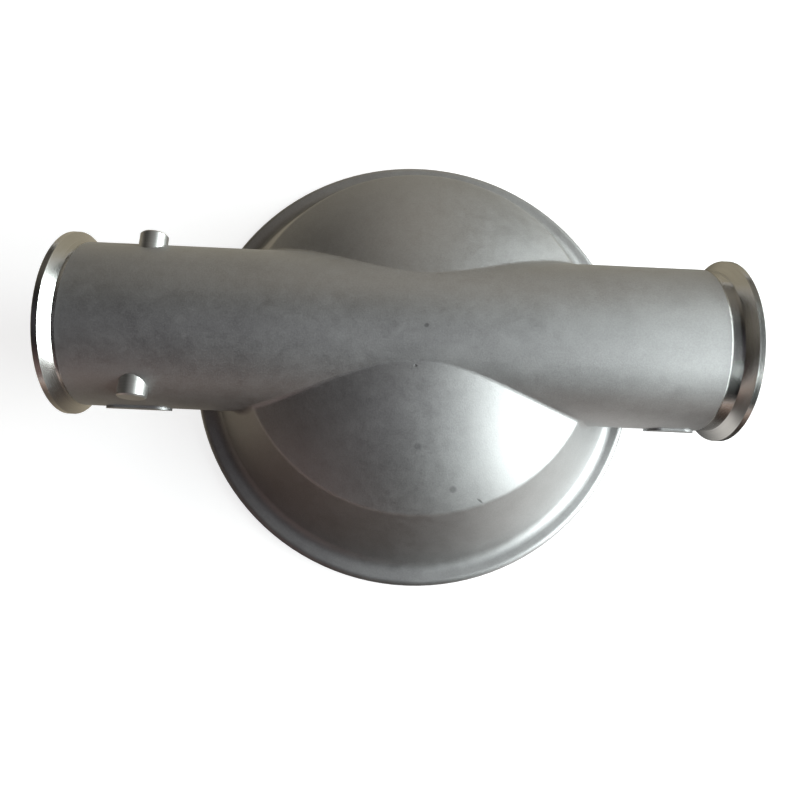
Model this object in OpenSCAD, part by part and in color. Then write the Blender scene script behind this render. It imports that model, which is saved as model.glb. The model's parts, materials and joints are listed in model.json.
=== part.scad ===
// Liquid chamber of a sanitary diaphragm pump.
// One stainless casting: a domed bowl with a clamp rim, and a straight tube that
// runs across it and ends in a clamp ferrule on each side. A turned bar crosses
// the tube near the inlet and stops the valve ball.
// The origin is the centre of the bowl's mouth, on the plane of the mouth. +Z
// points from the mouth to the dome, and +X along the tube to the outlet.

/* [Bowl] */
// Outside diameter of the clamp rim
rim_d = 242; // [240:1:260]
// Thickness of the clamp rim, from the mouth to its flat back
rim_h = 7.5; // [6:0.5:9]
// Rounding of the back edge of the rim
rim_round = 3.3; // [1:0.1:4]
// Bevel of the mouth edge of the rim
rim_bevel = 0.8; // [0.4:0.1:1.5]
// Diameter where the side wall would meet the flat back of the rim
wall_foot_d = 221; // [214:1:222]
// Lean of the side wall from upright, in degrees
wall_lean = 25.5; // [24.5:0.5:27]
// Fillet between the side wall and the rim
foot_fillet = 7.5; // [5:0.5:8]
// Diameter of the shoulder, where the side wall meets the dome
shoulder_d = 177; // [174:1:182]
// Rounding of the shoulder
shoulder_round = 6; // [3:0.5:9]
// Spherical radius of the domed top
dome_r = 149; // [140:1:170]
// Wall thickness of the bowl
bowl_wall = 5; // [4:0.5:6]
// Rounding of the shoulder inside the bowl
inner_round = 8; // [3:0.5:10]

/* [Mouth] */
// Diameter of the bored register that centres the bowl
register_d = 220; // [219:0.5:222]
// Depth of the register
register_h = 3; // [2:0.5:4]
// Diameter of the circle that the diaphragm bead groove follows
bead_groove_d = 230; // [228:0.5:232]
// Radius of the diaphragm bead groove
bead_groove_r = 2.5; // [1.5:0.1:2.8]

/* [Tube] */
// Height of the tube's axis over the mouth
tube_z = 46.5; // [46:0.5:50]
// Outside diameter of the cast tube
tube_d = 81.6; // [79:0.2:85]
// Diameter of the cast passage inside the tube
passage_d = 72; // [66:0.5:72.5]
// Distance from the centre of the bowl to the inlet face
inlet_reach = 172; // [165:1:200]
// Distance from the centre of the bowl to the outlet face
outlet_reach = 153.5; // [150:0.5:200]
// Radius of the blend where the tube grows out of the bowl
blend_r = 4; // [2:0.5:6]

/* [Clamp ends] */
// Diameter of the clamp ferrules
ferrule_d = 91; // [90:0.5:92]
// Thickness of a ferrule at its edge
ferrule_edge = 2.85; // [2.5:0.05:3.5]
// Slope of the back of a ferrule, in degrees
ferrule_slope = 33; // [15:1:38]
// Bevel on the edges of a ferrule
ferrule_bevel = 0.3; // [0.1:0.1:0.6]
// Diameter of the machined bore
bore_d = 72.9; // [72.6:0.1:75]
// Depth of the machined bore
bore_depth = 30; // [15:1:32]
// Diameter of the machined neck behind a ferrule
neck_d = 79.6; // [78:0.2:80.8]
// Length of the neck on the inlet side
inlet_neck = 0.8; // [0.8:0.1:8]
// Length of the neck on the outlet side
outlet_neck = 5.4; // [0.8:0.1:8]
// Diameter of the circle that the gasket groove follows
gasket_groove_d = 83.3; // [82:0.1:85]
// Radius of the gasket groove
gasket_groove_r = 1.6; // [1:0.1:2]

/* [Ball stop bar] */
// Diameter of the bar
bar_d = 13.5; // [10:0.5:16]
// Length of the bar
bar_len = 82; // [80:0.5:96]
// Height of the bar over the tube's axis
bar_rise = 19.5; // [14:0.5:22]
// Distance from the inlet face to the bar
bar_setback = 40; // [38:1:60]
// Bevel on the ends of the bar
bar_bevel = 0.7; // [0.2:0.1:1.5]

/* [Marking pads] */
// Height of a pad above the tube
pad_raise = 1.2; // [0.6:0.1:2]
// Width of a pad around the tube
pad_width = 14; // [10:1:20]
// Length of the inlet pad
inlet_pad_len = 32; // [24:1:36]
// Length of the outlet pad
outlet_pad_len = 24; // [16:1:26]
// Distance from the inlet face to the middle of its pad
inlet_pad_setback = 35; // [28:1:40]
// Distance from the outlet face to the middle of its pad
outlet_pad_setback = 26; // [25:1:28]
// Turn of the pads around the tube, from its top, in degrees
pad_turn = 100; // [90:1:110]

/* [Hidden] */
$fn = 128;
casting_colour = [0.52, 0.52, 0.51];
bar_colour = [0.74, 0.75, 0.75];

// How far a cutter runs past the face that it opens.
past = 1;

// Facets round the bowl, the bar and the small round shapes.
bowl_fn = 256;
bar_fn = 64;
small_fn = 48;

// Bands that round the shoulder, and those of the rim's edge and the foot fillet.
shoulder_steps = 4;
edge_steps = 6;

rim_r = rim_d / 2;
foot_r = wall_foot_d / 2;
shoulder_r = shoulder_d / 2;
tube_r = tube_d / 2;
ferrule_r = ferrule_d / 2;
neck_r = neck_d / 2;

// Height of the corner between the side wall and the dome, and of the dome's centre.
shoulder_z = rim_h + (foot_r - shoulder_r) / tan(wall_lean);
dome_cz = shoulder_z - sqrt(dome_r * dome_r - shoulder_r * shoulder_r);

// Centre of the foot fillet, as radius and height.
foot_c = [foot_r + foot_fillet * (1 - sin(wall_lean)) / cos(wall_lean), rim_h + foot_fillet];

// Outward normal of the side wall, as radius and height.
wall_n = [cos(wall_lean), sin(wall_lean)];

// Radius of the side wall at height z, set in by a wall thickness.
function wall_r(z, inset) =
    foot_r - inset / cos(wall_lean) - (z - rim_h) * tan(wall_lean);

// Points along an arc, from one angle to another.
function arc(c, r, from, to, steps) =
    [for (i = [0 : steps]) let (a = from + (to - from) * i / steps) c + r * [cos(a), sin(a)]];

// Centre of the circle that rounds the shoulder, for a bowl set in by inset.
function shoulder_c(inset, round) =
    let (
        depth = inset + round,
        r0 = foot_r - depth * wall_n[0],
        h0 = rim_h - depth * wall_n[1] - dome_cz,
        reach = dome_r - depth,
        half_b = h0 * cos(wall_lean) - r0 * sin(wall_lean),
        run = -half_b + sqrt(half_b * half_b - r0 * r0 - h0 * h0 + reach * reach)
    )
    [r0 - run * sin(wall_lean), h0 + dome_cz + run * cos(wall_lean)];

// Elevation of the dome's normal where the shoulder's circle touches it.
function shoulder_elevation(c) = atan2(c[1] - dome_cz, c[0]);

// Solid bowl that rises from the points at its foot, set in by inset. Its last
// band runs on through the dome, which cuts it off.
module bowl_form(foot_points, inset, round) {
    c = shoulder_c(inset, round);
    rounding = arc(c, round, wall_lean, shoulder_elevation(c), shoulder_steps);
    before = rounding[shoulder_steps - 1];
    beyond = 2 * rounding[shoulder_steps] - before;
    crown = dome_cz + dome_r + past;
    band_top = [beyond[0], crown];
    below = [for (i = [0 : shoulder_steps - 1]) rounding[i]];
    intersection() {
        rotate_extrude($fn = bowl_fn)
            polygon(concat([[0, foot_points[0][1]]], foot_points, below, [beyond, band_top, [0, crown]]));
        translate([0, 0, dome_cz])
            sphere(r = dome_r - inset, $fn = bowl_fn);
    }
}

// The clamp rim with its rounded back edge, and the fillet that leads to the wall.
rim_and_foot = concat(
    [[rim_r - rim_bevel, 0], [rim_r, rim_bevel]],
    arc([rim_r - rim_round, rim_h - rim_round], rim_round, 0, 90, edge_steps),
    arc(foot_c, foot_fillet, 270, 180 + wall_lean, edge_steps)
);

// The bowl without its inside.
module bowl_outside() {
    bowl_form(rim_and_foot, 0, shoulder_round);
}

// What is taken out of the bowl: the domed inside, the register and the bead groove.
module bowl_inside() {
    bowl_form([[wall_r(-past, bowl_wall), -past]], bowl_wall, inner_round);
    translate([0, 0, -past])
        cylinder(h = register_h + past, d = register_d, $fn = bowl_fn);
    rotate_extrude($fn = bowl_fn)
        translate([bead_groove_d / 2, 0])
            circle(r = bead_groove_r, $fn = small_fn);
}

// Lays a shape that stands along +Z along the tube's axis, away from an end face.
module from_inlet() {
    translate([-inlet_reach, 0, tube_z])
        rotate([0, 90, 0])
            children();
}

module from_outlet() {
    translate([outlet_reach, 0, tube_z])
        rotate([0, -90, 0])
            children();
}

// Length of a clamp end, from its face to the full diameter of the cast tube.
function clamp_back(neck) = ferrule_edge + (ferrule_r - neck_r) * tan(ferrule_slope) + neck;

// Outline of one clamp end, from its face: the ferrule, its sloped back and the neck.
function clamp_outline(neck) =
    let (back = clamp_back(neck))
    [
        [ferrule_r - ferrule_bevel, 0], [ferrule_r, ferrule_bevel], [ferrule_r, ferrule_edge],
        [neck_r, back - neck], [neck_r, back], [tube_r, back + tube_r - neck_r]
    ];

tube_len = inlet_reach + outlet_reach;

// The tube with both clamp ends, without its inside.
module tube_outside() {
    inlet = clamp_outline(inlet_neck);
    outlet = clamp_outline(outlet_neck);
    mirrored = [for (i = [len(outlet) - 1 : -1 : 0]) [outlet[i][0], tube_len - outlet[i][1]]];
    from_inlet()
        rotate_extrude()
            polygon(concat([[0, 0]], inlet, mirrored, [[0, tube_len]]));
}

// The passage with the machined bore at each end.
module tube_inside() {
    bore_r = bore_d / 2;
    passage_r = passage_d / 2;
    step = bore_r - passage_r;
    from_inlet()
        rotate_extrude()
            polygon([
                [0, -past], [bore_r, -past], [bore_r, bore_depth],
                [passage_r, bore_depth + step], [passage_r, tube_len - bore_depth - step],
                [bore_r, tube_len - bore_depth], [bore_r, tube_len + past], [0, tube_len + past]
            ]);
    from_inlet()
        gasket_groove();
    from_outlet()
        gasket_groove();
}

// The groove in the face of a ferrule that centres the gasket.
module gasket_groove() {
    rotate_extrude()
        translate([gasket_groove_d / 2, 0])
            circle(r = gasket_groove_r, $fn = small_fn);
}

// A low pad with round ends, that follows the tube.
module marking_pad(pad_len) {
    straight = pad_len - pad_width;
    intersection() {
        rotate([0, 90, 0])
            cylinder(h = pad_len + 2 * past, r = tube_r + pad_raise, center = true);
        rotate([pad_turn, 0, 0])
            linear_extrude(height = tube_d) {
                square([straight, pad_width], center = true);
                for (end = [-1, 1])
                    translate([end * straight / 2, 0])
                        circle(d = pad_width, $fn = small_fn);
            }
    }
}

// The blend between tube and bowl is the surface that a ball leaves as it rolls
// along both. Under the tube's widest line the ball shrinks, and a little above the
// foot fillet the blend runs out by sinking under the crease.
blend_end_r = 0.5;
blend_sink = 1;
blend_end_z = foot_c[1] - foot_fillet * wall_n[1] + blend_r;
blend_end_turn = acos((blend_end_z - tube_z) / (tube_r + blend_end_r));
widest_turn = 90;

outer_c = shoulder_c(0, shoulder_round);
outer_up = shoulder_elevation(outer_c);

// Radius of the ball at one angle around the tube, counted from the tube's top.
function ball_size(turn) =
    let (left = (blend_end_turn - turn) / (blend_end_turn - widest_turn))
    blend_end_r + (blend_r - blend_end_r) * min(1, left);

// Elevation of the bowl's normal where a ball touches it, for a centre at height z.
function touch_elevation(z, ball) =
    let (
        on_dome = asin(min(1, (z - dome_cz) / (dome_r + ball))),
        on_shoulder = asin(max(-1, min(1, (z - outer_c[1]) / (shoulder_round + ball))))
    )
    on_dome > outer_up ? on_dome : max(on_shoulder, wall_lean);

// Distance of the ball's centre from the bowl's axis, for a centre at height z.
function ball_reach(z, ball) =
    let (up = touch_elevation(z, ball))
    up > outer_up ? (dome_r + ball) * cos(up)
    : up > wall_lean ? outer_c[0] + (shoulder_round + ball) * cos(up)
    : wall_r(z, -ball);

// Centre of the ball at one angle around the tube, on one half of the bowl.
function ball_centre(turn, half) =
    let (
        ball = ball_size(turn),
        y = (tube_r + ball) * sin(turn),
        z = tube_z + (tube_r + ball) * cos(turn),
        reach = ball_reach(z, ball)
    )
    [half * sqrt(max(0, reach * reach - y * y)), y, z];

// Angle of the waist, where the ball crosses the middle of the bowl, and the angles
// at which it passes from the dome to the shoulder and from the shoulder to the wall.
lift = tube_z - dome_cz;
tube_orbit = tube_r + blend_r;
dome_orbit = dome_r + blend_r;
shoulder_orbit = shoulder_round + blend_r;
waist_turn = acos((dome_orbit * dome_orbit - tube_orbit * tube_orbit - lift * lift) / (2 * lift * tube_orbit));
shoulder_turn = acos((outer_c[1] + shoulder_orbit * sin(outer_up) - tube_z) / tube_orbit);
wall_turn = acos((outer_c[1] + shoulder_orbit * wall_n[1] - tube_z) / tube_orbit);

// Sections of the blend over the dome, the shoulder and the wall, and how they crowd
// towards the waist.
dome_sections = 10;
shoulder_sections = 3;
wall_sections = 8;
waist_crowd = 1.6;

// Angles after a up to b, closer together near a where crowd is over 1.
function angles(a, b, count, crowd = 1) = [for (i = [1 : count]) a + (b - a) * pow(i / count, crowd)];

half_turns = concat(
    angles(waist_turn, shoulder_turn, dome_sections, waist_crowd),
    angles(shoulder_turn, wall_turn, shoulder_sections),
    angles(wall_turn, blend_end_turn, wall_sections)
);

// Chords along the ball, how far the outer two run on into the metal as a share of
// their length, and how deep the root of the blend lies under the crease.
chords = 3;
run_on = 0.5;
root_depth = 2;

// One section of the blend: the chords along the ball and a root in the metal.
function blend_section(turn, half) =
    let (
        ball = ball_size(turn),
        p = ball_centre(turn, half),
        tube_n = [0, sin(turn), cos(turn)],
        up = touch_elevation(p[2], ball),
        reach = norm([p[0], p[1]]),
        bowl_n = [cos(up) * p[0] / reach, cos(up) * p[1] / reach, sin(up)],
        spread = acos(tube_n * bowl_n),
        side = (bowl_n - tube_n * cos(spread)) / sin(spread),
        on_ball = [for (k = [0 : chords])
            let (a = spread * k / chords)
            p - ball * (cos(a) * tube_n + sin(a) * side)],
        middle = cos(spread / 2) * tube_n + sin(spread / 2) * side,
        sunk = (turn < blend_end_turn ? 0 : blend_sink) * middle
    )
    concat(
        [on_ball[0] + run_on * (on_ball[0] - on_ball[1]) - sunk],
        [for (k = [1 : chords - 1]) on_ball[k] - sunk],
        [on_ball[chords] + run_on * (on_ball[chords] - on_ball[chords - 1]) - sunk],
        [p - (ball / cos(spread / 2) + root_depth) * middle - sunk]
    );

// The blend on one side of the tube, from under the inlet side over the waist and
// down to the outlet side.
module blend_strip() {
    sections = concat(
        [for (i = [len(half_turns) - 1 : -1 : 0]) blend_section(half_turns[i], -1)],
        [blend_section(waist_turn, 1)],
        [for (turn = half_turns) blend_section(turn, 1)]
    );
    points = [for (section = sections) each section];
    ring = chords + 2;
    last = (len(sections) - 1) * ring;
    sides = [for (i = [0 : ring : last - ring]) for (k = [0 : ring - 1])
        let (a = i + k, b = i + (k + 1) % ring)
        each [[a, b, b + ring], [a, b + ring, a + ring]]];
    ends = [
        [for (k = [ring - 1 : -1 : 0]) k],
        [for (k = [0 : ring - 1]) last + k]
    ];
    polyhedron(points, concat(sides, ends), convexity = 6);
}

module bar_shape() {
    translate([bar_setback - inlet_reach, -bar_len / 2, tube_z + bar_rise])
        rotate([-90, 0, 0])
            rotate_extrude($fn = bar_fn)
                polygon([
                    [0, 0], [bar_d / 2 - bar_bevel, 0], [bar_d / 2, bar_bevel],
                    [bar_d / 2, bar_len - bar_bevel], [bar_d / 2 - bar_bevel, bar_len], [0, bar_len]
                ]);
}

// The hole that the bar is pressed into, through both walls of the tube.
module bar_hole() {
    translate([bar_setback - inlet_reach, 0, tube_z + bar_rise])
        rotate([90, 0, 0])
            cylinder(h = bar_len + 2 * past, d = bar_d, center = true, $fn = bar_fn);
}

module liquid_chamber() {
    color(casting_colour)
        difference() {
            union() {
                bowl_outside();
                tube_outside();
                blend_strip();
                mirror([0, 1, 0])
                    blend_strip();
                translate([inlet_pad_setback - inlet_reach, 0, tube_z])
                    marking_pad(inlet_pad_len);
                translate([outlet_reach - outlet_pad_setback, 0, tube_z])
                    marking_pad(outlet_pad_len);
            }
            bowl_inside();
            tube_inside();
            bar_hole();
        }
}

module ball_stop_bar() {
    color(bar_colour)
        bar_shape();
}

liquid_chamber();
ball_stop_bar();
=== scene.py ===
import json
import math

import bmesh
import bpy
from bpy.props import FloatProperty, FloatVectorProperty, IntProperty, PointerProperty
from mathutils import Matrix, Vector


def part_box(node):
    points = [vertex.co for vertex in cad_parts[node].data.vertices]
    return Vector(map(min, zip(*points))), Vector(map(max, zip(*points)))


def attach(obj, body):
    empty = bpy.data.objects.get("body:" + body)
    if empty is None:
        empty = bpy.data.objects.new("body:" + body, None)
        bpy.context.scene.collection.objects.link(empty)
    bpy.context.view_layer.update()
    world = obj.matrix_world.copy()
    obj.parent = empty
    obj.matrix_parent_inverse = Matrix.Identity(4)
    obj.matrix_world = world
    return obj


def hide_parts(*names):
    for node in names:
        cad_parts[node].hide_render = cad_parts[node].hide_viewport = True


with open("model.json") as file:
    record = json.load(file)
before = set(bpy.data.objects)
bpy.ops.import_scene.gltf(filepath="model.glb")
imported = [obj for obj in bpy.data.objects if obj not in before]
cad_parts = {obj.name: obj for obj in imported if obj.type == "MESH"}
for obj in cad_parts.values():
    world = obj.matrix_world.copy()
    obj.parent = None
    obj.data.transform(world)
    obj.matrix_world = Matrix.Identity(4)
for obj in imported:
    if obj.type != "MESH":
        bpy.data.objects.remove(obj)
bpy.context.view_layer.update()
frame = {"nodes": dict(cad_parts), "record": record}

bl_info = {
    "name": "Pump liquid chamber",
    "version": (1, 0, 0),
    "blender": (4, 5, 0),
    "location": "3D View > Sidebar > Chamber",
    "description": "Finishes and stages the liquid chamber of a diaphragm pump",
    "category": "Object",
}

MM = 0.001

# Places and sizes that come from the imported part.
MOUNTS = {mount["name"]: mount for mount in frame["record"]["mounts"]}
TUBE_Z = MOUNTS["inlet_bore"]["pos_m"][2]
INLET_X = MOUNTS["inlet_face"]["pos_m"][0]
OUTLET_X = MOUNTS["outlet_face"]["pos_m"][0]
BORE_R = MOUNTS["inlet_bore"]["dims"]["r_mm"] * MM
BORE_DEPTH = MOUNTS["inlet_bore"]["dims"]["length_mm"] * MM
REGISTER_H = MOUNTS["mouth_register"]["dims"]["length_mm"] * MM
BAR_LOW, BAR_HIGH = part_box("ball_stop_bar")

# Radius of the tube, which no mount gives.
TUBE_R = 40.8 * MM

# Slack for telling on which side of a surface a point lies, and the wider one for
# the bore, whose edge is bevelled.
SLACK = 0.01 * MM
BORE_SLACK = 0.2 * MM

# How far the lathe cut reaches along the outside of each clamp end, and how deep
# it leaves the neck under the skin of the tube.
INLET_TURNED = 8.4 * MM
OUTLET_TURNED = 12.95 * MM
INLET_STEP = 0.25 * MM
OUTLET_STEP = 0.4 * MM

# Soft patches of the room's light: azimuth from +X, elevation, and colour.
ROOM_LIGHT = (
    (-84, 75, (0.40, 0.37, 0.41)),
    (92, 46, (0.47, 0.42, 0.36)),
    (85, 22, (0.68, 0.61, 0.51)),
    (165, 6, (0.20, 0.18, 0.15)),
    (-130, 6, (0.42, 0.28, 0.27)),
)
PATCH_FOCUS = 18.0

# Share of white that the floor adds for the camera and for mirrors. It is less near
# the part, where the floor keeps a shadow, than where the floor runs out.
FLOOR_GLOW = 0.8
FLOOR_NEAR, FLOOR_FAR = 0.45, 1.0

# The ground that the metal mirrors: a glowing mat that paints reflections. Brown lies in
# front and fades near the part, which paints the part's shadow; olive lies behind; and a pale
# spot lies in front towards the window as a painted highlight. Directions are azimuths from
# +X. The edges say how far to the side of its direction a colour starts and is full, as cosines.
MAT_RADIUS = 1.5
MAT_HEIGHT = 0.2 * MM
MAT_FRONT = 262
REFLECTED_BROWN = (0.74, 0.55, 0.46)
BROWN_EDGE = (0.1, 0.6)
# Painted shadow of the part on the mat: near the part the brown keeps only the share below, and it comes
# back to full between these two distances from the middle, in metres.
PAINTED_SHADOW_FADE = (0.2, 0.8)
BROWN_SHARE_IN_PAINTED_SHADOW = 0.1
MAT_BACK = 115
REFLECTED_OLIVE = (0.46, 0.41, 0.31)
OLIVE_EDGE = (-0.3, 0.4)
# Painted highlight: a pale spot on the mat towards the window, full within the core and gone past the edge,
# in metres from its middle.
PAINTED_HIGHLIGHT_COLOUR = (0.9, 0.88, 0.85)
PAINTED_HIGHLIGHT_SPOT = (0.098, -0.098, 0.0)
HIGHLIGHT_CORE, HIGHLIGHT_EDGE = 0.02, 0.1

# The window: azimuth and elevation, distance, size, brightness and colour.
WINDOW_AT = (-4, 20)
WINDOW_DISTANCE = 1.2
WINDOW_SIZE = (1.65, 0.95)
WINDOW_BRIGHTNESS = 10.5
WINDOW_COLOUR = (0.93, 1.0, 0.995)

# Where the camera stands, in mm, and which way its picture's right and top point.
CAMERA_PLACE = (-13.21, -106.87, 386.87)
CAMERA_RIGHT = (0.99895, 0.03857, 0.02458)
CAMERA_UP = (-0.04382, 0.96111, 0.27266)
SENSOR_WIDTH = 36.0

# Small marks that the casting bears: place and size in mm, turn about Z in degrees,
# how much darker than the skin, and how deep in mm.
MARKS = (
    ("pit", (2.2, -6.3, 86.8), (1.3, 1.1), 20, 0.42, 0.02),
    ("pit", (-1.9, -23.7, 79.7), (0.9, 0.8), 0, 0.4, 0.1),
    ("dot", (17.8, -76.0, 59.8), (2.1, 2.0), 0, 0.34, 0.0),
    ("dot", (0.6, -58.6, 70.8), (1.9, 1.8), 0, 0.22, 0.0),
    ("dot", (-12.0, -78.5, 58.5), (2.0, 1.8), 0, 0.14, 0.0),
    ("scratch", (30.5, -80.1, 54.3), (2.6, 0.65), -32, 0.55, 0.02),
    ("smudge", (-116.9, -16.6, 83.8), (1.6, 1.2), 0, -0.12, 0.01),
    ("smudge", (-126.0, -16.0, 84.0), (2.0, 1.4), 0, -0.1, 0.01),
    ("smudge", (-106.0, -15.5, 84.3), (1.3, 1.6), 0, -0.12, 0.01),
    ("smudge", (-94.0, -15.5, 84.4), (3.0, 0.8), 5, 0.1, 0.0),
)
MARK_REACH = 2.5


# Node trees

def add_node(tree, kind, inputs=None, **settings):
    """Adds a node, sets its options, and sets or links its inputs."""
    made = tree.nodes.new(kind)
    for name, value in settings.items():
        setattr(made, name, value)
    for key, value in (inputs or {}).items():
        if isinstance(value, bpy.types.NodeSocket):
            tree.links.new(value, made.inputs[key])
        else:
            made.inputs[key].default_value = value
    return made


def add_math(tree, operation, *values):
    """Adds a math node and returns its result."""
    return add_node(tree, "ShaderNodeMath", dict(enumerate(values)), operation=operation).outputs[0]


def add_vector(tree, operation, *values):
    """Adds a vector math node."""
    return add_node(tree, "ShaderNodeVectorMath", dict(enumerate(values)), operation=operation)


def scale_colour(tree, colour, value):
    """Multiplies a colour by a value."""
    scaled = add_vector(tree, "SCALE", colour)
    tree.links.new(value, scaled.inputs["Scale"])
    return scaled.outputs[0]


def add_ramp(tree, value, low, high):
    """Maps value from low..high smoothly to 0..1."""
    return add_node(
        tree, "ShaderNodeMapRange", {"Value": value, "From Min": low, "From Max": high},
        interpolation_type="SMOOTHSTEP",
    ).outputs["Result"]


def new_group(name, inputs, outputs, kind="ShaderNodeTree"):
    """Makes an empty node group with named sockets. Inputs are (type, name, default)."""
    tree = bpy.data.node_groups.new(name, kind)
    for socket_type, label, default in inputs:
        socket = tree.interface.new_socket(label, in_out="INPUT", socket_type=socket_type)
        if default is not None:
            socket.default_value = default
    for socket_type, label in outputs:
        tree.interface.new_socket(label, in_out="OUTPUT", socket_type=socket_type)
    source = tree.nodes.new("NodeGroupInput")
    sink = tree.nodes.new("NodeGroupOutput")
    return tree, source.outputs, sink


def use_group(tree, group, **inputs):
    """Places a shader group in a material with its own values."""
    return add_node(
        tree, "ShaderNodeGroup", {key.replace("_", " "): value for key, value in inputs.items()},
        node_tree=group,
    ).outputs


def noise_lift(tree, vector, size, detail, roughness, distortion=0.0):
    """Noise of a given size, as a lift either side of 0."""
    noise = add_node(
        tree, "ShaderNodeTexNoise",
        {"Vector": vector, "Scale": add_math(tree, "DIVIDE", 1.0, size),
         "Detail": detail, "Roughness": roughness, "Distortion": distortion},
    ).outputs[0]
    return add_math(tree, "SUBTRACT", noise, 0.5)


def blasted_skin_group():
    """Fine speckle, mottles and soft clouds of a bead blasted casting."""
    tree, given, sink = new_group(
        "blasted_skin",
        [
            ("NodeSocketVector", "Vector", None),
            ("NodeSocketColor", "Color", (0.4, 0.4, 0.4, 1)),
            ("NodeSocketFloat", "Grain Size", 0.9 * MM),
            ("NodeSocketFloat", "Grain Contrast", 0.42),
            ("NodeSocketFloat", "Grain Depth", 0.04 * MM),
            ("NodeSocketFloat", "Mottle Size", 5 * MM),
            ("NodeSocketFloat", "Mottle Contrast", 0.19),
            ("NodeSocketFloat", "Cloud Size", 30 * MM),
            ("NodeSocketFloat", "Cloud Contrast", 0.16),
            ("NodeSocketFloat", "Roughness", 0.4),
        ],
        [("NodeSocketColor", "Color"), ("NodeSocketFloat", "Roughness"), ("NodeSocketFloat", "Height")],
    )
    grain = noise_lift(tree, given["Vector"], given["Grain Size"], 3.0, 0.65)
    mottle = noise_lift(tree, given["Vector"], given["Mottle Size"], 3.0, 0.6, 0.6)
    cloud = noise_lift(tree, given["Vector"], given["Cloud Size"], 3.0, 0.55, 0.4)
    value = 1.0
    for lift, layer in ((grain, "Grain"), (mottle, "Mottle"), (cloud, "Cloud")):
        value = add_math(tree, "MULTIPLY_ADD", lift, given[layer + " Contrast"], value)
    tree.links.new(scale_colour(tree, given["Color"], value), sink.inputs["Color"])
    rough = given["Roughness"]
    for lift, share in ((grain, 0.10), (mottle, 0.12), (cloud, 0.10)):
        rough = add_math(tree, "MULTIPLY_ADD", lift, share, rough)
    tree.links.new(rough, sink.inputs["Roughness"])
    tree.links.new(add_math(tree, "MULTIPLY", grain, given["Grain Depth"]), sink.inputs["Height"])
    return tree


def small_mark_group():
    """One small mark: darkens the skin and dents it within an oval."""
    tree, given, sink = new_group(
        "small_mark",
        [
            ("NodeSocketVector", "Vector", None),
            ("NodeSocketColor", "Color", (0.4, 0.4, 0.4, 1)),
            ("NodeSocketFloat", "Height", 0.0),
            ("NodeSocketVector", "Location", None),
            ("NodeSocketVector", "Rotation", None),
            ("NodeSocketVector", "Size", (MM, MM, MM)),
            ("NodeSocketFloat", "Darkness", 0.4),
            ("NodeSocketFloat", "Depth", 0.0),
        ],
        [("NodeSocketColor", "Color"), ("NodeSocketFloat", "Height")],
    )
    local = add_node(
        tree, "ShaderNodeMapping",
        {"Vector": given["Vector"], "Location": given["Location"], "Rotation": given["Rotation"],
         "Scale": given["Size"]},
        vector_type="TEXTURE",
    ).outputs[0]
    mask = add_ramp(tree, add_vector(tree, "LENGTH", local).outputs["Value"], 1.15, 0.45)
    shade = add_math(tree, "SUBTRACT", 1.0, add_math(tree, "MULTIPLY", mask, given["Darkness"]))
    tree.links.new(scale_colour(tree, given["Color"], shade), sink.inputs["Color"])
    dent = add_math(tree, "MULTIPLY", mask, given["Depth"])
    tree.links.new(add_math(tree, "SUBTRACT", given["Height"], dent), sink.inputs["Height"])
    return tree


def turned_rings_group():
    """Fine rings that a lathe leaves, the same all the way round."""
    tree, given, sink = new_group(
        "turned_rings",
        [
            ("NodeSocketVector", "Vector", None),
            ("NodeSocketFloat", "Feed", 0.25 * MM),
            ("NodeSocketFloat", "Contrast", 0.5),
            ("NodeSocketColor", "Color", (0.6, 0.6, 0.6, 1)),
            ("NodeSocketFloat", "Roughness", 0.22),
            ("NodeSocketFloat", "Ring Depth", 0.01 * MM),
        ],
        [("NodeSocketColor", "Color"), ("NodeSocketFloat", "Roughness"), ("NodeSocketFloat", "Height")],
    )
    split = add_node(tree, "ShaderNodeSeparateXYZ", {0: given["Vector"]}).outputs
    squares = [add_math(tree, "POWER", split[axis], 2.0) for axis in (1, 2)]
    across = add_math(tree, "SQRT", add_math(tree, "ADD", *squares))
    rings = add_node(tree, "ShaderNodeCombineXYZ", {0: across, 1: split[0]}).outputs[0]
    lift = noise_lift(tree, rings, given["Feed"], 2.0, 0.7)
    shade = add_math(tree, "MULTIPLY_ADD", lift, given["Contrast"], 1.0)
    tree.links.new(scale_colour(tree, given["Color"], shade), sink.inputs["Color"])
    tree.links.new(add_math(tree, "MULTIPLY_ADD", lift, 0.12, given["Roughness"]), sink.inputs["Roughness"])
    tree.links.new(add_math(tree, "MULTIPLY", lift, given["Ring Depth"]), sink.inputs["Height"])
    return tree


def shared_rings():
    """The group of rings, made once and used by every turned material."""
    return bpy.data.node_groups.get("turned_rings") or turned_rings_group()


def new_material(name, metallic=1.0):
    """Makes a material and returns its tree, shader and object coordinates."""
    material = bpy.data.materials.new(name)
    material.use_nodes = True
    tree = material.node_tree
    shader = tree.nodes["Principled BSDF"]
    shader.inputs["Metallic"].default_value = metallic
    place = tree.nodes.new("ShaderNodeTexCoord").outputs["Object"]
    return material, tree, shader, place


def wire_surface(tree, shader, colour, roughness, height):
    """Feeds a colour, a roughness and a height in metres to the shader."""
    tree.links.new(colour, shader.inputs["Base Color"])
    tree.links.new(roughness, shader.inputs["Roughness"])
    bump = add_node(tree, "ShaderNodeBump", {"Strength": 1.0, "Distance": 1.0, "Height": height})
    tree.links.new(bump.outputs[0], shader.inputs["Normal"])


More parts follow.
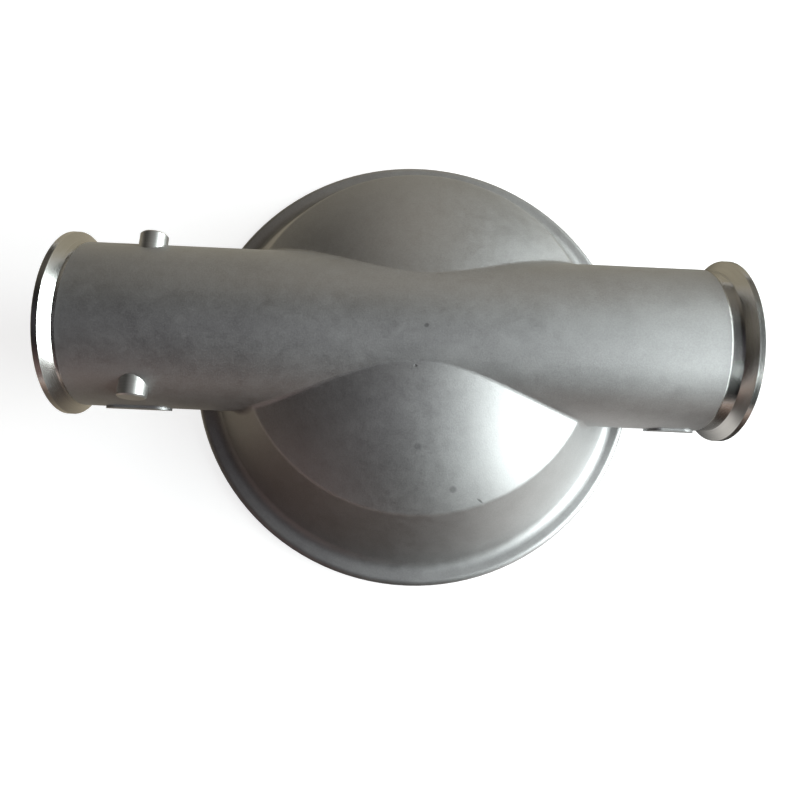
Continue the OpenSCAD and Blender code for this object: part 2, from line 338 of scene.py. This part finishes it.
def blasted_material(look):
    """Bead blasted skin of the casting, with its small marks."""
    material, tree, shader, place = new_material("blasted_cast_steel")
    surface = use_group(
        tree, blasted_skin_group(), Vector=place, Color=(*look.skin_colour, 1), Grain_Size=look.grain_size,
        Grain_Depth=look.grain_depth, Roughness=look.skin_roughness,
    )
    colour, height = surface["Color"], surface["Height"]
    mark_group = small_mark_group()
    for kind, middle, (long, broad), turn, darkness, depth in MARKS:
        mark = use_group(
            tree, mark_group, Vector=place, Color=colour, Height=height,
            Location=Vector(middle) * MM, Rotation=(0.0, 0.0, math.radians(turn)),
            Size=Vector((long, broad, MARK_REACH)) * MM, Darkness=darkness, Depth=depth * MM,
        )
        mark["Color"].node.label = kind
        colour, height = mark["Color"], mark["Height"]
    wire_surface(tree, shader, colour, surface["Roughness"], height)
    return material


def turned_material(name, look, centre, turn, roughness):
    """Lathe cut steel, with its rings round an axis through centre."""
    material, tree, shader, place = new_material(name)
    aligned = add_node(
        tree, "ShaderNodeMapping", {"Vector": place, "Location": centre, "Rotation": turn},
        vector_type="TEXTURE",
    ).outputs[0]
    surface = use_group(
        tree, shared_rings(), Vector=aligned, Color=(*look.turned_colour, 1), Feed=look.feed,
        Roughness=roughness, Ring_Depth=look.ring_depth,
    )
    wire_surface(tree, shader, surface["Color"], surface["Roughness"], surface["Height"])
    return material


# Meshes

def mesh_object(name, mesh):
    """Puts a mesh in the scene under a piece's name."""
    made = bpy.data.objects.new(name, mesh)
    bpy.context.scene.collection.objects.link(made)
    return made


def evaluated_mesh(piece, name):
    """Returns the piece's mesh with its modifiers applied, and removes them."""
    bpy.context.view_layer.update()
    graph = bpy.context.evaluated_depsgraph_get()
    mesh = bpy.data.meshes.new_from_object(piece.evaluated_get(graph), depsgraph=graph)
    mesh.name = name
    piece.modifiers.clear()
    return mesh


def is_turned_end(point):
    """True where the lathe has cut a clamp end, outside or in its bore."""
    outside = point.x < INLET_X + INLET_TURNED or point.x > OUTLET_X - OUTLET_TURNED
    from_axis = math.hypot(point.y, point.z - TUBE_Z)
    in_bore = point.x < INLET_X + BORE_DEPTH or point.x > OUTLET_X - BORE_DEPTH
    return outside or (in_bore and from_axis < BORE_R + BORE_SLACK)


def ease_necks(work):
    """Lets the skin of the tube run out over each neck with only a low step."""
    for vert in work.verts:
        across = math.hypot(vert.co.y, vert.co.z - TUBE_Z)
        if not BORE_R + MM < across < TUBE_R - SLACK:
            continue
        if vert.co.x - INLET_X < INLET_TURNED:
            radius = TUBE_R - INLET_STEP
        elif OUTLET_X - vert.co.x < OUTLET_TURNED:
            radius = TUBE_R - OUTLET_STEP
        else:
            continue
        vert.co.y *= radius / across
        vert.co.z = TUBE_Z + (vert.co.z - TUBE_Z) * radius / across


def casting_object(look):
    """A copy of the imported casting, merged and shaded smooth up to its edges."""
    mesh = frame["nodes"]["liquid_chamber"].data.copy()
    mesh.name = "casting"
    mesh.materials.clear()
    work = bmesh.new()
    work.from_mesh(mesh)
    bmesh.ops.remove_doubles(work, verts=work.verts, dist=look.merge_distance)
    ease_necks(work)
    for edge in work.edges:
        edge.smooth = len(edge.link_faces) != 2 or edge.calc_face_angle(math.pi) < look.edge_angle
    for face in work.faces:
        face.smooth = True
        top = max(vert.co.z for vert in face.verts)
        at_mouth = top < REGISTER_H + SLACK
        face.material_index = 1 if is_turned_end(face.calc_center_median()) else 2 if at_mouth else 0
    work.to_mesh(mesh)
    work.free()
    return mesh_object("casting", mesh)


def weight_normals(piece):
    """Lets large faces steer the shading beside the narrow ones."""
    modifier = piece.modifiers.new("normals", "WEIGHTED_NORMAL")
    modifier.mode = "FACE_AREA"
    modifier.weight = 100
    modifier.keep_sharp = True
    piece.data = evaluated_mesh(piece, piece.name)


def turned_bar_tree(material):
    """Geometry nodes that turn a bar with bevelled ends."""
    tree, given, sink = new_group(
        "turned_bar",
        [
            ("NodeSocketFloat", "Diameter", 13.5 * MM),
            ("NodeSocketFloat", "Length", 82 * MM),
            ("NodeSocketFloat", "Bevel", 0.7 * MM),
            ("NodeSocketInt", "Sides", 96),
            ("NodeSocketVector", "Start", None),
            ("NodeSocketMaterial", "Material", material),
        ],
        [("NodeSocketGeometry", "Geometry")],
        kind="GeometryNodeTree",
    )
    radius = add_math(tree, "MULTIPLY", given["Diameter"], 0.5)
    end_radius = add_math(tree, "SUBTRACT", radius, given["Bevel"])
    middle = add_math(tree, "SUBTRACT", given["Length"], add_math(tree, "MULTIPLY", given["Bevel"], 2.0))
    disc = add_node(
        tree, "GeometryNodeMeshCircle", {"Vertices": given["Sides"], "Radius": end_radius}, fill_type="NGON"
    ).outputs["Mesh"]
    shape, top = disc, None
    grow = add_math(tree, "DIVIDE", radius, end_radius)
    shrink = add_math(tree, "DIVIDE", end_radius, radius)
    for step, scale in ((given["Bevel"], grow), (middle, None), (given["Bevel"], shrink)):
        inputs = {"Mesh": shape, "Offset Scale": step}
        if top is not None:
            inputs["Selection"] = top
        pulled = add_node(tree, "GeometryNodeExtrudeMesh", inputs, mode="FACES").outputs
        shape, top = pulled["Mesh"], pulled["Top"]
        if scale is not None:
            shape = add_node(
                tree, "GeometryNodeScaleElements", {"Geometry": shape, "Selection": top, "Scale": scale},
                domain="FACE",
            ).outputs["Geometry"]
    joined = tree.nodes.new("GeometryNodeJoinGeometry")
    tree.links.new(shape, joined.inputs["Geometry"])
    far_end = add_node(tree, "GeometryNodeFlipFaces", {"Mesh": disc}).outputs["Mesh"]
    tree.links.new(far_end, joined.inputs["Geometry"])
    shape = add_node(
        tree, "GeometryNodeMergeByDistance", {"Geometry": joined.outputs["Geometry"], "Distance": 0.001 * MM}
    ).outputs["Geometry"]
    placed = add_node(
        tree, "GeometryNodeTransform",
        {"Geometry": shape, "Translation": given["Start"], "Rotation": (-math.pi / 2, 0.0, 0.0)},
    ).outputs["Geometry"]
    painted = add_node(tree, "GeometryNodeSetMaterial", {"Geometry": placed, "Material": given["Material"]})
    tree.links.new(painted.outputs["Geometry"], sink.inputs["Geometry"])
    return tree


def set_modifier_input(modifier, name, value):
    """Sets a geometry nodes input by its socket's identifier."""
    for item in modifier.node_group.interface.items_tree:
        if item.item_type == "SOCKET" and item.in_out == "INPUT" and item.name == name:
            modifier[item.identifier] = value
            return
    raise KeyError(name)


# Settings that a user would change

class CastingSettings(bpy.types.PropertyGroup):
    """Finish of the casting."""

    skin_colour: FloatVectorProperty(
        name="Skin colour", description="Colour of the blasted skin", subtype="COLOR", size=3,
        default=(0.405, 0.405, 0.405), min=0.0, max=1.0,
    )
    skin_roughness: FloatProperty(
        name="Skin roughness", description="Roughness of the blasted skin", default=0.53, min=0.0, max=1.0
    )
    grain_size: FloatProperty(
        name="Grain size", description="Size of the blasted grain", default=0.8 * MM, unit="LENGTH"
    )
    grain_depth: FloatProperty(
        name="Grain depth", description="Depth of the blasted grain", default=0.04 * MM, unit="LENGTH"
    )
    turned_colour: FloatVectorProperty(
        name="Turned colour", description="Colour of the lathe cut faces", subtype="COLOR", size=3,
        default=(0.52, 0.52, 0.505), min=0.0, max=1.0,
    )
    turned_roughness: FloatProperty(
        name="Turned roughness", description="Roughness of the lathe cut faces", default=0.24,
        min=0.0, max=1.0,
    )
    feed: FloatProperty(
        name="Feed", description="Width of the lathe's rings", default=0.3 * MM, unit="LENGTH"
    )
    ring_depth: FloatProperty(
        name="Ring depth", description="Depth of the lathe's rings", default=0.008 * MM, unit="LENGTH"
    )
    edge_angle: FloatProperty(
        name="Edge angle", description="Angle above which an edge stays sharp", subtype="ANGLE",
        default=math.radians(28),
    )
    merge_distance: FloatProperty(
        name="Merge distance", description="Distance under which points are one", default=0.001 * MM,
        unit="LENGTH", precision=7,
    )


class BarSettings(bpy.types.PropertyGroup):
    """Size and finish of the ball stop bar."""

    diameter: FloatProperty(
        name="Diameter", description="Diameter of the bar", default=BAR_HIGH.x - BAR_LOW.x, unit="LENGTH"
    )
    length: FloatProperty(
        name="Length", description="Length of the bar", default=BAR_HIGH.y - BAR_LOW.y, unit="LENGTH"
    )
    bevel: FloatProperty(
        name="Bevel", description="Bevel on the ends of the bar", default=0.7 * MM, unit="LENGTH"
    )
    roughness: FloatProperty(
        name="Roughness", description="Roughness of the bar's ends", default=0.45, min=0.0, max=1.0
    )
    sides: IntProperty(name="Sides", description="Sides of the bar's mesh", default=96, min=16, max=256)


class StageSettings(bpy.types.PropertyGroup):
    """Floor, lights and camera."""

    floor_size: FloatProperty(
        name="Floor size", description="Side of the floor", default=12.0, unit="LENGTH"
    )
    lens: FloatProperty(name="Lens", description="Focal length of the camera", default=31.708, min=1.0)
    lens_shift: FloatProperty(name="Lens shift", description="Upward shift of the lens", default=-0.0543)


class CHAMBER_OT_casting(bpy.types.Operator):
    """Dress the cast chamber in its blasted and lathe cut finishes"""

    bl_idname = "chamber.casting"
    bl_label = "Casting"

    def execute(self, context):
        look = context.scene.chamber_casting
        piece = casting_object(look)
        piece.data.materials.append(blasted_material(look))
        for name, centre, turn in (
            ("turned_clamp_ends", (0.0, 0.0, TUBE_Z), (0.0, 0.0, 0.0)),
            ("turned_mouth", (0.0, 0.0, 0.0), (0.0, -math.pi / 2, 0.0)),
        ):
            piece.data.materials.append(turned_material(name, look, centre, turn, look.turned_roughness))
        weight_normals(piece)
        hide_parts("liquid_chamber")
        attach(piece, "root")
        return {"FINISHED"}


class CHAMBER_OT_stop_bar(bpy.types.Operator):
    """Turn the bar that stops the valve ball"""

    bl_idname = "chamber.stop_bar"
    bl_label = "Ball stop bar"

    def execute(self, context):
        look = context.scene.chamber_casting
        size = context.scene.chamber_bar
        middle = (BAR_LOW + BAR_HIGH) / 2
        turn = (0.0, 0.0, math.pi / 2)
        steel = turned_material("turned_bar_steel", look, tuple(middle), turn, size.roughness)
        tree = turned_bar_tree(steel)
        piece = mesh_object("stop_bar", bpy.data.meshes.new("stop_bar"))
        modifier = piece.modifiers.new("turned bar", "NODES")
        modifier.node_group = tree
        for name, value in (
            ("Diameter", size.diameter), ("Length", size.length), ("Bevel", size.bevel),
            ("Sides", size.sides), ("Start", (middle.x, BAR_LOW.y, middle.z)), ("Material", steel),
        ):
            set_modifier_input(modifier, name, value)
        piece.data = evaluated_mesh(piece, "stop_bar")
        piece.data.shade_smooth()
        piece.data.set_sharp_from_angle(angle=look.edge_angle)
        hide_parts("ball_stop_bar")
        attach(piece, "root")
        return {"FINISHED"}


def floor_material():
    """Pale floor that the camera and the metal see as white, and that keeps the shadow."""
    material, tree, shader, place = new_material("pale_floor", metallic=0.0)
    shader.inputs["Base Color"].default_value = (0.45, 0.45, 0.45, 1)
    shader.inputs["Roughness"].default_value = 1.0
    shader.inputs["Specular IOR Level"].default_value = 0.0
    ray = tree.nodes.new("ShaderNodeLightPath").outputs
    seen = add_math(
        tree, "MAXIMUM", ray["Is Camera Ray"],
        add_math(tree, "MAXIMUM", ray["Is Glossy Ray"], ray["Is Transmission Ray"]),
    )
    far = add_ramp(tree, add_vector(tree, "LENGTH", place).outputs["Value"], FLOOR_NEAR, FLOOR_FAR)
    share = add_math(tree, "MULTIPLY_ADD", far, 1 - FLOOR_GLOW, FLOOR_GLOW)
    strength = add_math(tree, "MULTIPLY", seen, share)
    glow = add_node(tree, "ShaderNodeEmission", {"Color": (1, 1, 1, 1), "Strength": strength})
    total = add_node(tree, "ShaderNodeAddShader", {0: shader.outputs[0], 1: glow.outputs[0]})
    tree.links.new(total.outputs[0], tree.nodes["Material Output"].inputs["Surface"])
    return material


def add_floor(size):
    """A large square floor under the mouth."""
    half = size / 2
    mesh = bpy.data.meshes.new("floor")
    corners = [(-half, -half, 0), (half, -half, 0), (half, half, 0), (-half, half, 0)]
    mesh.from_pydata(corners, [], [(0, 1, 2, 3)])
    mesh.materials.append(floor_material())
    floor = mesh_object("floor", mesh)


def facing(azimuth, elevation):
    """Unit vector towards an azimuth, counted from +X, and an elevation, in degrees."""
    turn, lift = math.radians(azimuth), math.radians(elevation)
    return Vector((math.cos(lift) * math.cos(turn), math.cos(lift) * math.sin(turn), math.sin(lift)))


def soften_world():
    """A dim room round the object, as a few soft patches of light, with white behind it."""
    world = bpy.data.worlds.new("studio")
    bpy.context.scene.world = world
    world.use_nodes = True
    tree = world.node_tree
    direction = tree.nodes.new("ShaderNodeTexCoord").outputs["Generated"]
    total = None
    for azimuth, elevation, colour in ROOM_LIGHT:
        toward = add_vector(tree, "DOT_PRODUCT", direction, facing(azimuth, elevation)).outputs["Value"]
        nearness = add_math(tree, "MULTIPLY_ADD", toward, PATCH_FOCUS, -PATCH_FOCUS)
        patch = scale_colour(tree, colour, add_math(tree, "EXPONENT", nearness))
        total = patch if total is None else add_vector(tree, "ADD", total, patch).outputs[0]
    backdrop = tree.nodes.new("ShaderNodeLightPath").outputs["Is Camera Ray"]
    total = add_vector(tree, "MAXIMUM", total, backdrop).outputs[0]
    tree.links.new(total, tree.nodes["Background"].inputs["Color"])


def painted_reflection_material():
    """Coloured, glowing ground that the metal mirrors: painted reflections, with painted shadow near the
    part and a painted highlight.
    """
    material = bpy.data.materials.new("painted_reflection_mat")
    material.use_nodes = True
    tree = material.node_tree
    tree.nodes.remove(tree.nodes["Principled BSDF"])
    place = tree.nodes.new("ShaderNodeTexCoord").outputs["Object"]
    outward = add_vector(tree, "NORMALIZE", place).outputs[0]
    toward = add_vector(tree, "DOT_PRODUCT", outward, facing(MAT_FRONT, 0)).outputs["Value"]
    distance = add_vector(tree, "LENGTH", place).outputs["Value"]
    # Painted shadow of the part: the brown dims towards the middle.
    away = add_ramp(tree, distance, *PAINTED_SHADOW_FADE)
    painted_shadow_lift = add_math(tree, "MULTIPLY_ADD", away, 1 - BROWN_SHARE_IN_PAINTED_SHADOW, BROWN_SHARE_IN_PAINTED_SHADOW)
    share = add_math(tree, "MULTIPLY", add_ramp(tree, toward, *BROWN_EDGE), painted_shadow_lift)
    brown = scale_colour(tree, REFLECTED_BROWN, share)
    behind = add_vector(tree, "DOT_PRODUCT", outward, facing(MAT_BACK, 0)).outputs["Value"]
    olive = scale_colour(tree, REFLECTED_OLIVE, add_ramp(tree, behind, *OLIVE_EDGE))
    # Painted highlight: a pale spot on the mat.
    from_spot = add_vector(tree, "DISTANCE", place, PAINTED_HIGHLIGHT_SPOT).outputs["Value"]
    pale = scale_colour(tree, PAINTED_HIGHLIGHT_COLOUR, add_ramp(tree, from_spot, HIGHLIGHT_EDGE, HIGHLIGHT_CORE))
    ground = add_vector(tree, "ADD", brown, olive).outputs[0]
    colour = add_vector(tree, "ADD", ground, pale).outputs[0]
    # The mat glows with these colours with no lamp behind them: painted reflections for the metal.
    glow = add_node(tree, "ShaderNodeEmission", {"Color": colour})
    tree.links.new(glow.outputs[0], tree.nodes["Material Output"].inputs["Surface"])
    return material


def add_painted_reflection_mat(radius):
    """A round glowing mat on the floor that shows in the metal alone, as painted reflections."""
    work = bmesh.new()
    bmesh.ops.create_circle(work, cap_ends=True, segments=64, radius=radius)
    mesh = bpy.data.meshes.new("painted_reflection_mat")
    work.to_mesh(mesh)
    work.free()
    mesh.transform(Matrix.Translation((0, 0, MAT_HEIGHT)))
    mesh.materials.append(painted_reflection_material())
    mat = mesh_object("painted_reflection_mat", mesh)
    mat.visible_camera = False
    mat.visible_diffuse = False
    mat.visible_shadow = False
    mat.visible_transmission = False


def aim(piece, place, target):
    """Puts a light at place, facing target."""
    piece.location = place
    piece.rotation_mode = "QUATERNION"
    piece.rotation_quaternion = (Vector(target) - Vector(place)).to_track_quat("-Z", "Y")


def add_softbox(name, direction, distance, size, brightness, colour):
    """A rectangular soft light. Brightness is that of its face, where 1 is white."""
    light = bpy.data.lights.new(name, "AREA")
    light.shape = "RECTANGLE"
    light.size, light.size_y = size
    light.energy = brightness * math.pi * size[0] * size[1]
    light.color = colour
    made = bpy.data.objects.new(name, light)
    bpy.context.scene.collection.objects.link(made)
    target = Vector((0.0, 0.0, TUBE_Z))
    aim(made, target + direction * distance, target)


def add_camera(stage):
    """The camera at the photograph's viewing angle."""
    data = bpy.data.cameras.new("camera")
    data.lens = stage.lens
    data.sensor_width = SENSOR_WIDTH
    data.shift_y = stage.lens_shift
    camera = bpy.data.objects.new("camera", data)
    bpy.context.scene.collection.objects.link(camera)
    right = Vector(CAMERA_RIGHT)
    up = Vector(CAMERA_UP)
    place = Matrix((right, up, right.cross(up))).transposed().to_4x4()
    place.translation = Vector(CAMERA_PLACE) * MM
    camera.matrix_world = place
    data.clip_start = 0.01
    bpy.context.scene.camera = camera


class CHAMBER_OT_stage(bpy.types.Operator):
    """Set the floor, the soft lights and the camera"""

    bl_idname = "chamber.stage"
    bl_label = "Stage"

    def execute(self, context):
        stage = context.scene.chamber_stage
        add_camera(stage)
        add_floor(stage.floor_size)
        soften_world()
        # Painted reflections: a glowing mat that only the metal sees.
        add_painted_reflection_mat(MAT_RADIUS)
        add_softbox(
            "window", facing(*WINDOW_AT), WINDOW_DISTANCE, WINDOW_SIZE, WINDOW_BRIGHTNESS, WINDOW_COLOUR
        )
        context.scene.view_settings.view_transform = "Standard"
        return {"FINISHED"}


class CHAMBER_PT_panel(bpy.types.Panel):
    """Lists the pieces of the chamber and its stage"""

    bl_idname = "CHAMBER_PT_panel"
    bl_label = "Liquid chamber"
    bl_space_type = "VIEW_3D"
    bl_region_type = "UI"
    bl_category = "Chamber"

    def draw(self, context):
        scene = context.scene
        for settings, operator in (
            (scene.chamber_casting, CHAMBER_OT_casting),
            (scene.chamber_bar, CHAMBER_OT_stop_bar),
            (scene.chamber_stage, CHAMBER_OT_stage),
        ):
            box = self.layout.box()
            box.operator(operator.bl_idname)
            for name in settings.__annotations__:
                box.prop(settings, name)


CLASSES = (
    CastingSettings, BarSettings, StageSettings,
    CHAMBER_OT_casting, CHAMBER_OT_stop_bar, CHAMBER_OT_stage, CHAMBER_PT_panel,
)


def register():
    for item in CLASSES:
        bpy.utils.register_class(item)
    bpy.types.Scene.chamber_casting = PointerProperty(type=CastingSettings)
    bpy.types.Scene.chamber_bar = PointerProperty(type=BarSettings)
    bpy.types.Scene.chamber_stage = PointerProperty(type=StageSettings)


def unregister():
    del bpy.types.Scene.chamber_stage
    del bpy.types.Scene.chamber_bar
    del bpy.types.Scene.chamber_casting
    for item in reversed(CLASSES):
        bpy.utils.unregister_class(item)


def main():
    """Builds the pieces and the stage."""
    register()
    bpy.ops.chamber.casting()
    bpy.ops.chamber.stop_bar()
    bpy.ops.chamber.stage()


if __name__ == "__main__":
    main()
